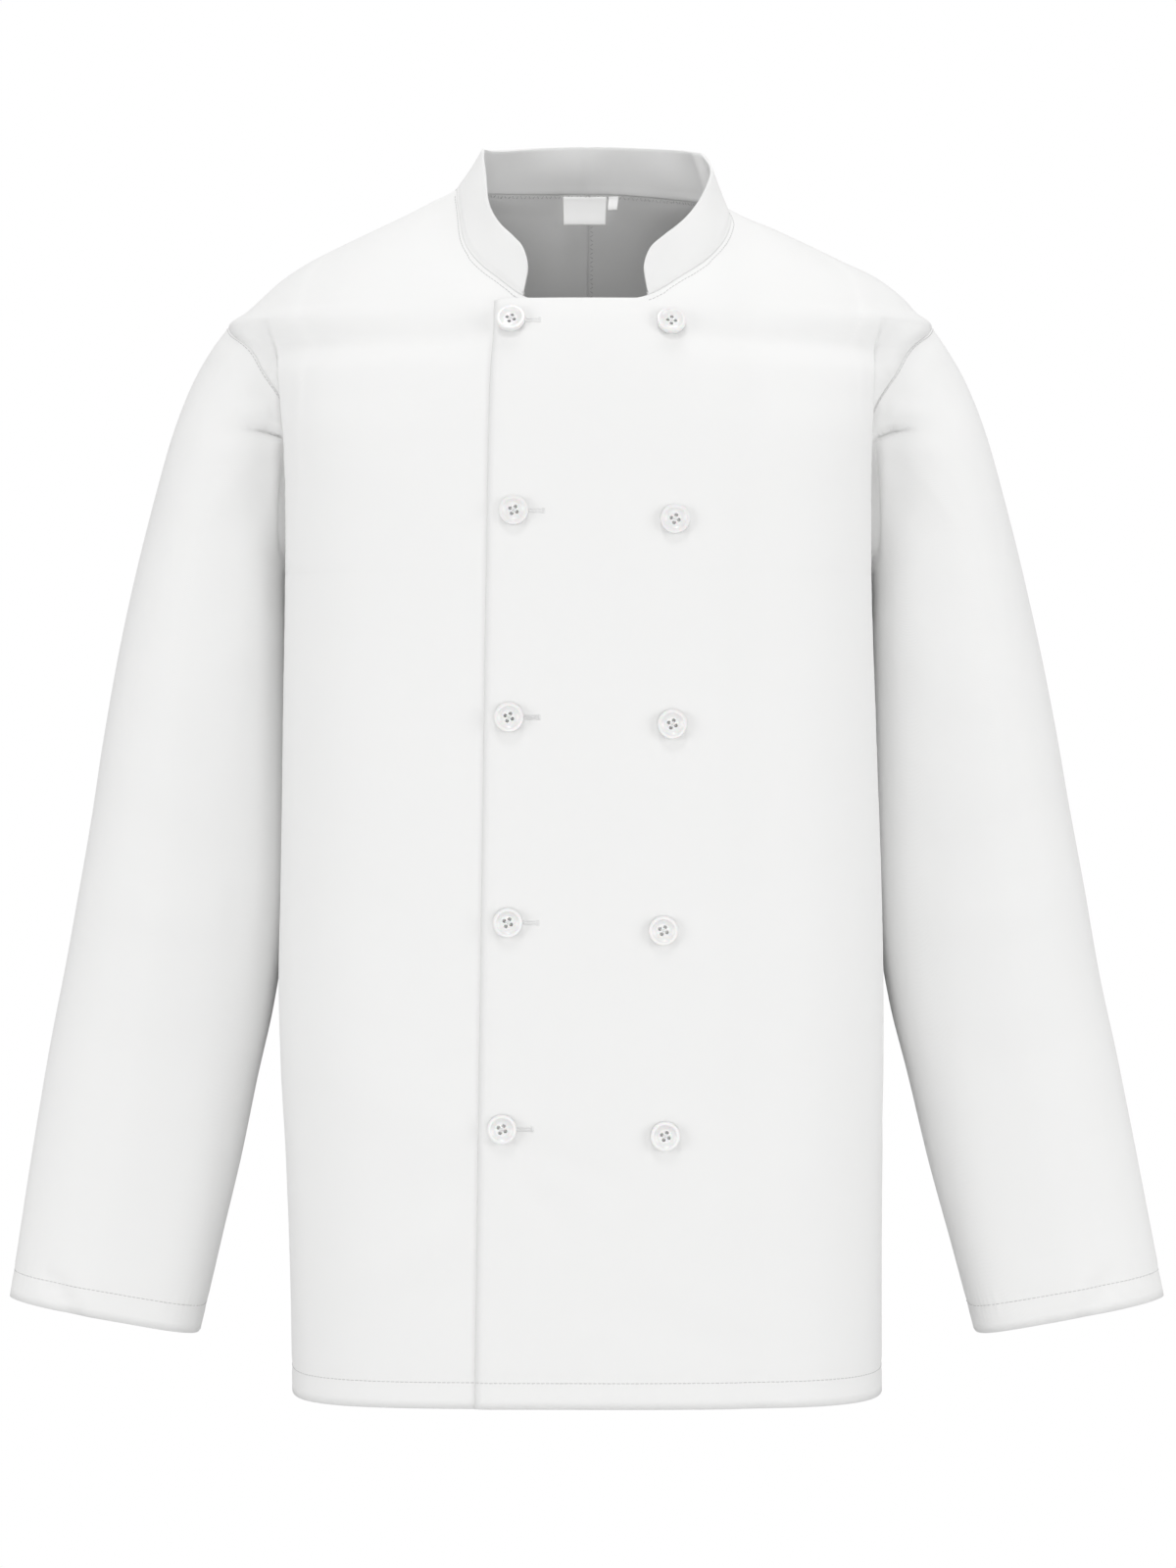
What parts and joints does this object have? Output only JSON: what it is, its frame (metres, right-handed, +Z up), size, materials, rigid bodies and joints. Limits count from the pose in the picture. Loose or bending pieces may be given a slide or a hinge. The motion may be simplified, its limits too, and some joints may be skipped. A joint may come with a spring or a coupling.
{
  "type": "chef jacket",
  "caption": "Long-sleeved double-breasted chef jacket in plain white cloth, filled out as worn, with a stand collar and button front.",
  "frame": {"origin": "middle of the neck base, between the points where the shoulders meet it, where the wearer's neck and shoulders hold the jacket", "axes": "+Z up, the front faces -Y, +X is the viewer's right and the wearer's left"},
  "size_m": [0.7414, 0.2698, 0.8052],
  "materials": {
    "cloth": "fine white twill, matte with a faint sheen",
    "label_weave": "smooth white woven label, bare",
    "button": "white polished plastic"
  },
  "bodies": {
    "root": {"front_left": "cloth", "front_right": "cloth", "back_left": "cloth", "back_right": "cloth", "sleeve_left": "cloth", "sleeve_right": "cloth", "collar": "cloth", "label": "label_weave", "size_tab": "label_weave", "button_through_1": "button", "button_through_2": "button", "button_through_3": "button", "button_through_4": "button", "button_through_5": "button", "button_sewn_1": "button", "button_sewn_2": "button", "button_sewn_3": "button", "button_sewn_4": "button", "button_sewn_5": "button"}
  },
  "joints": []
}
